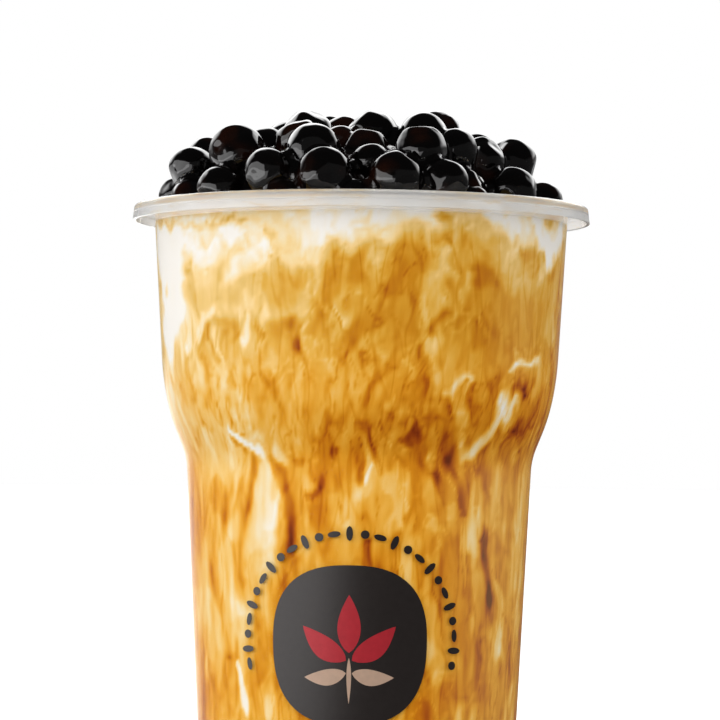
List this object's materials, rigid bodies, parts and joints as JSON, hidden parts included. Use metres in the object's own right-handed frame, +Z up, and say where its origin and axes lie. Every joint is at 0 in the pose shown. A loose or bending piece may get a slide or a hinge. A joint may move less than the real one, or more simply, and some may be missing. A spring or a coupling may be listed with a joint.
{
  "type": "bubble tea",
  "caption": "Clear flared plastic cup filled to the brim with milk and brown sugar syrup, under a heap of glossy tapioca pearls that stands above the rim.",
  "frame": {"origin": "centre of the foot's underside, on the surface that the cup stands on", "axes": "+Z up from the foot to the pearls, -Y towards the side that the picture shows, which carries the round print"},
  "size_m": [0.095, 0.095, 0.1494],
  "materials": {
    "clear_plastic": "clear thin-walled polypropylene, glossy",
    "milk_tea": "opaque liquid: caramel brown with streaks of milk and dark syrup",
    "tapioca": "near-black, wet and very glossy",
    "print": "satin ink printed on the cup: charcoal, red and cream"
  },
  "bodies": {
    "root": {"cup": "clear_plastic", "drink": "milk_tea", "pearls": "tapioca"}
  },
  "joints": []
}
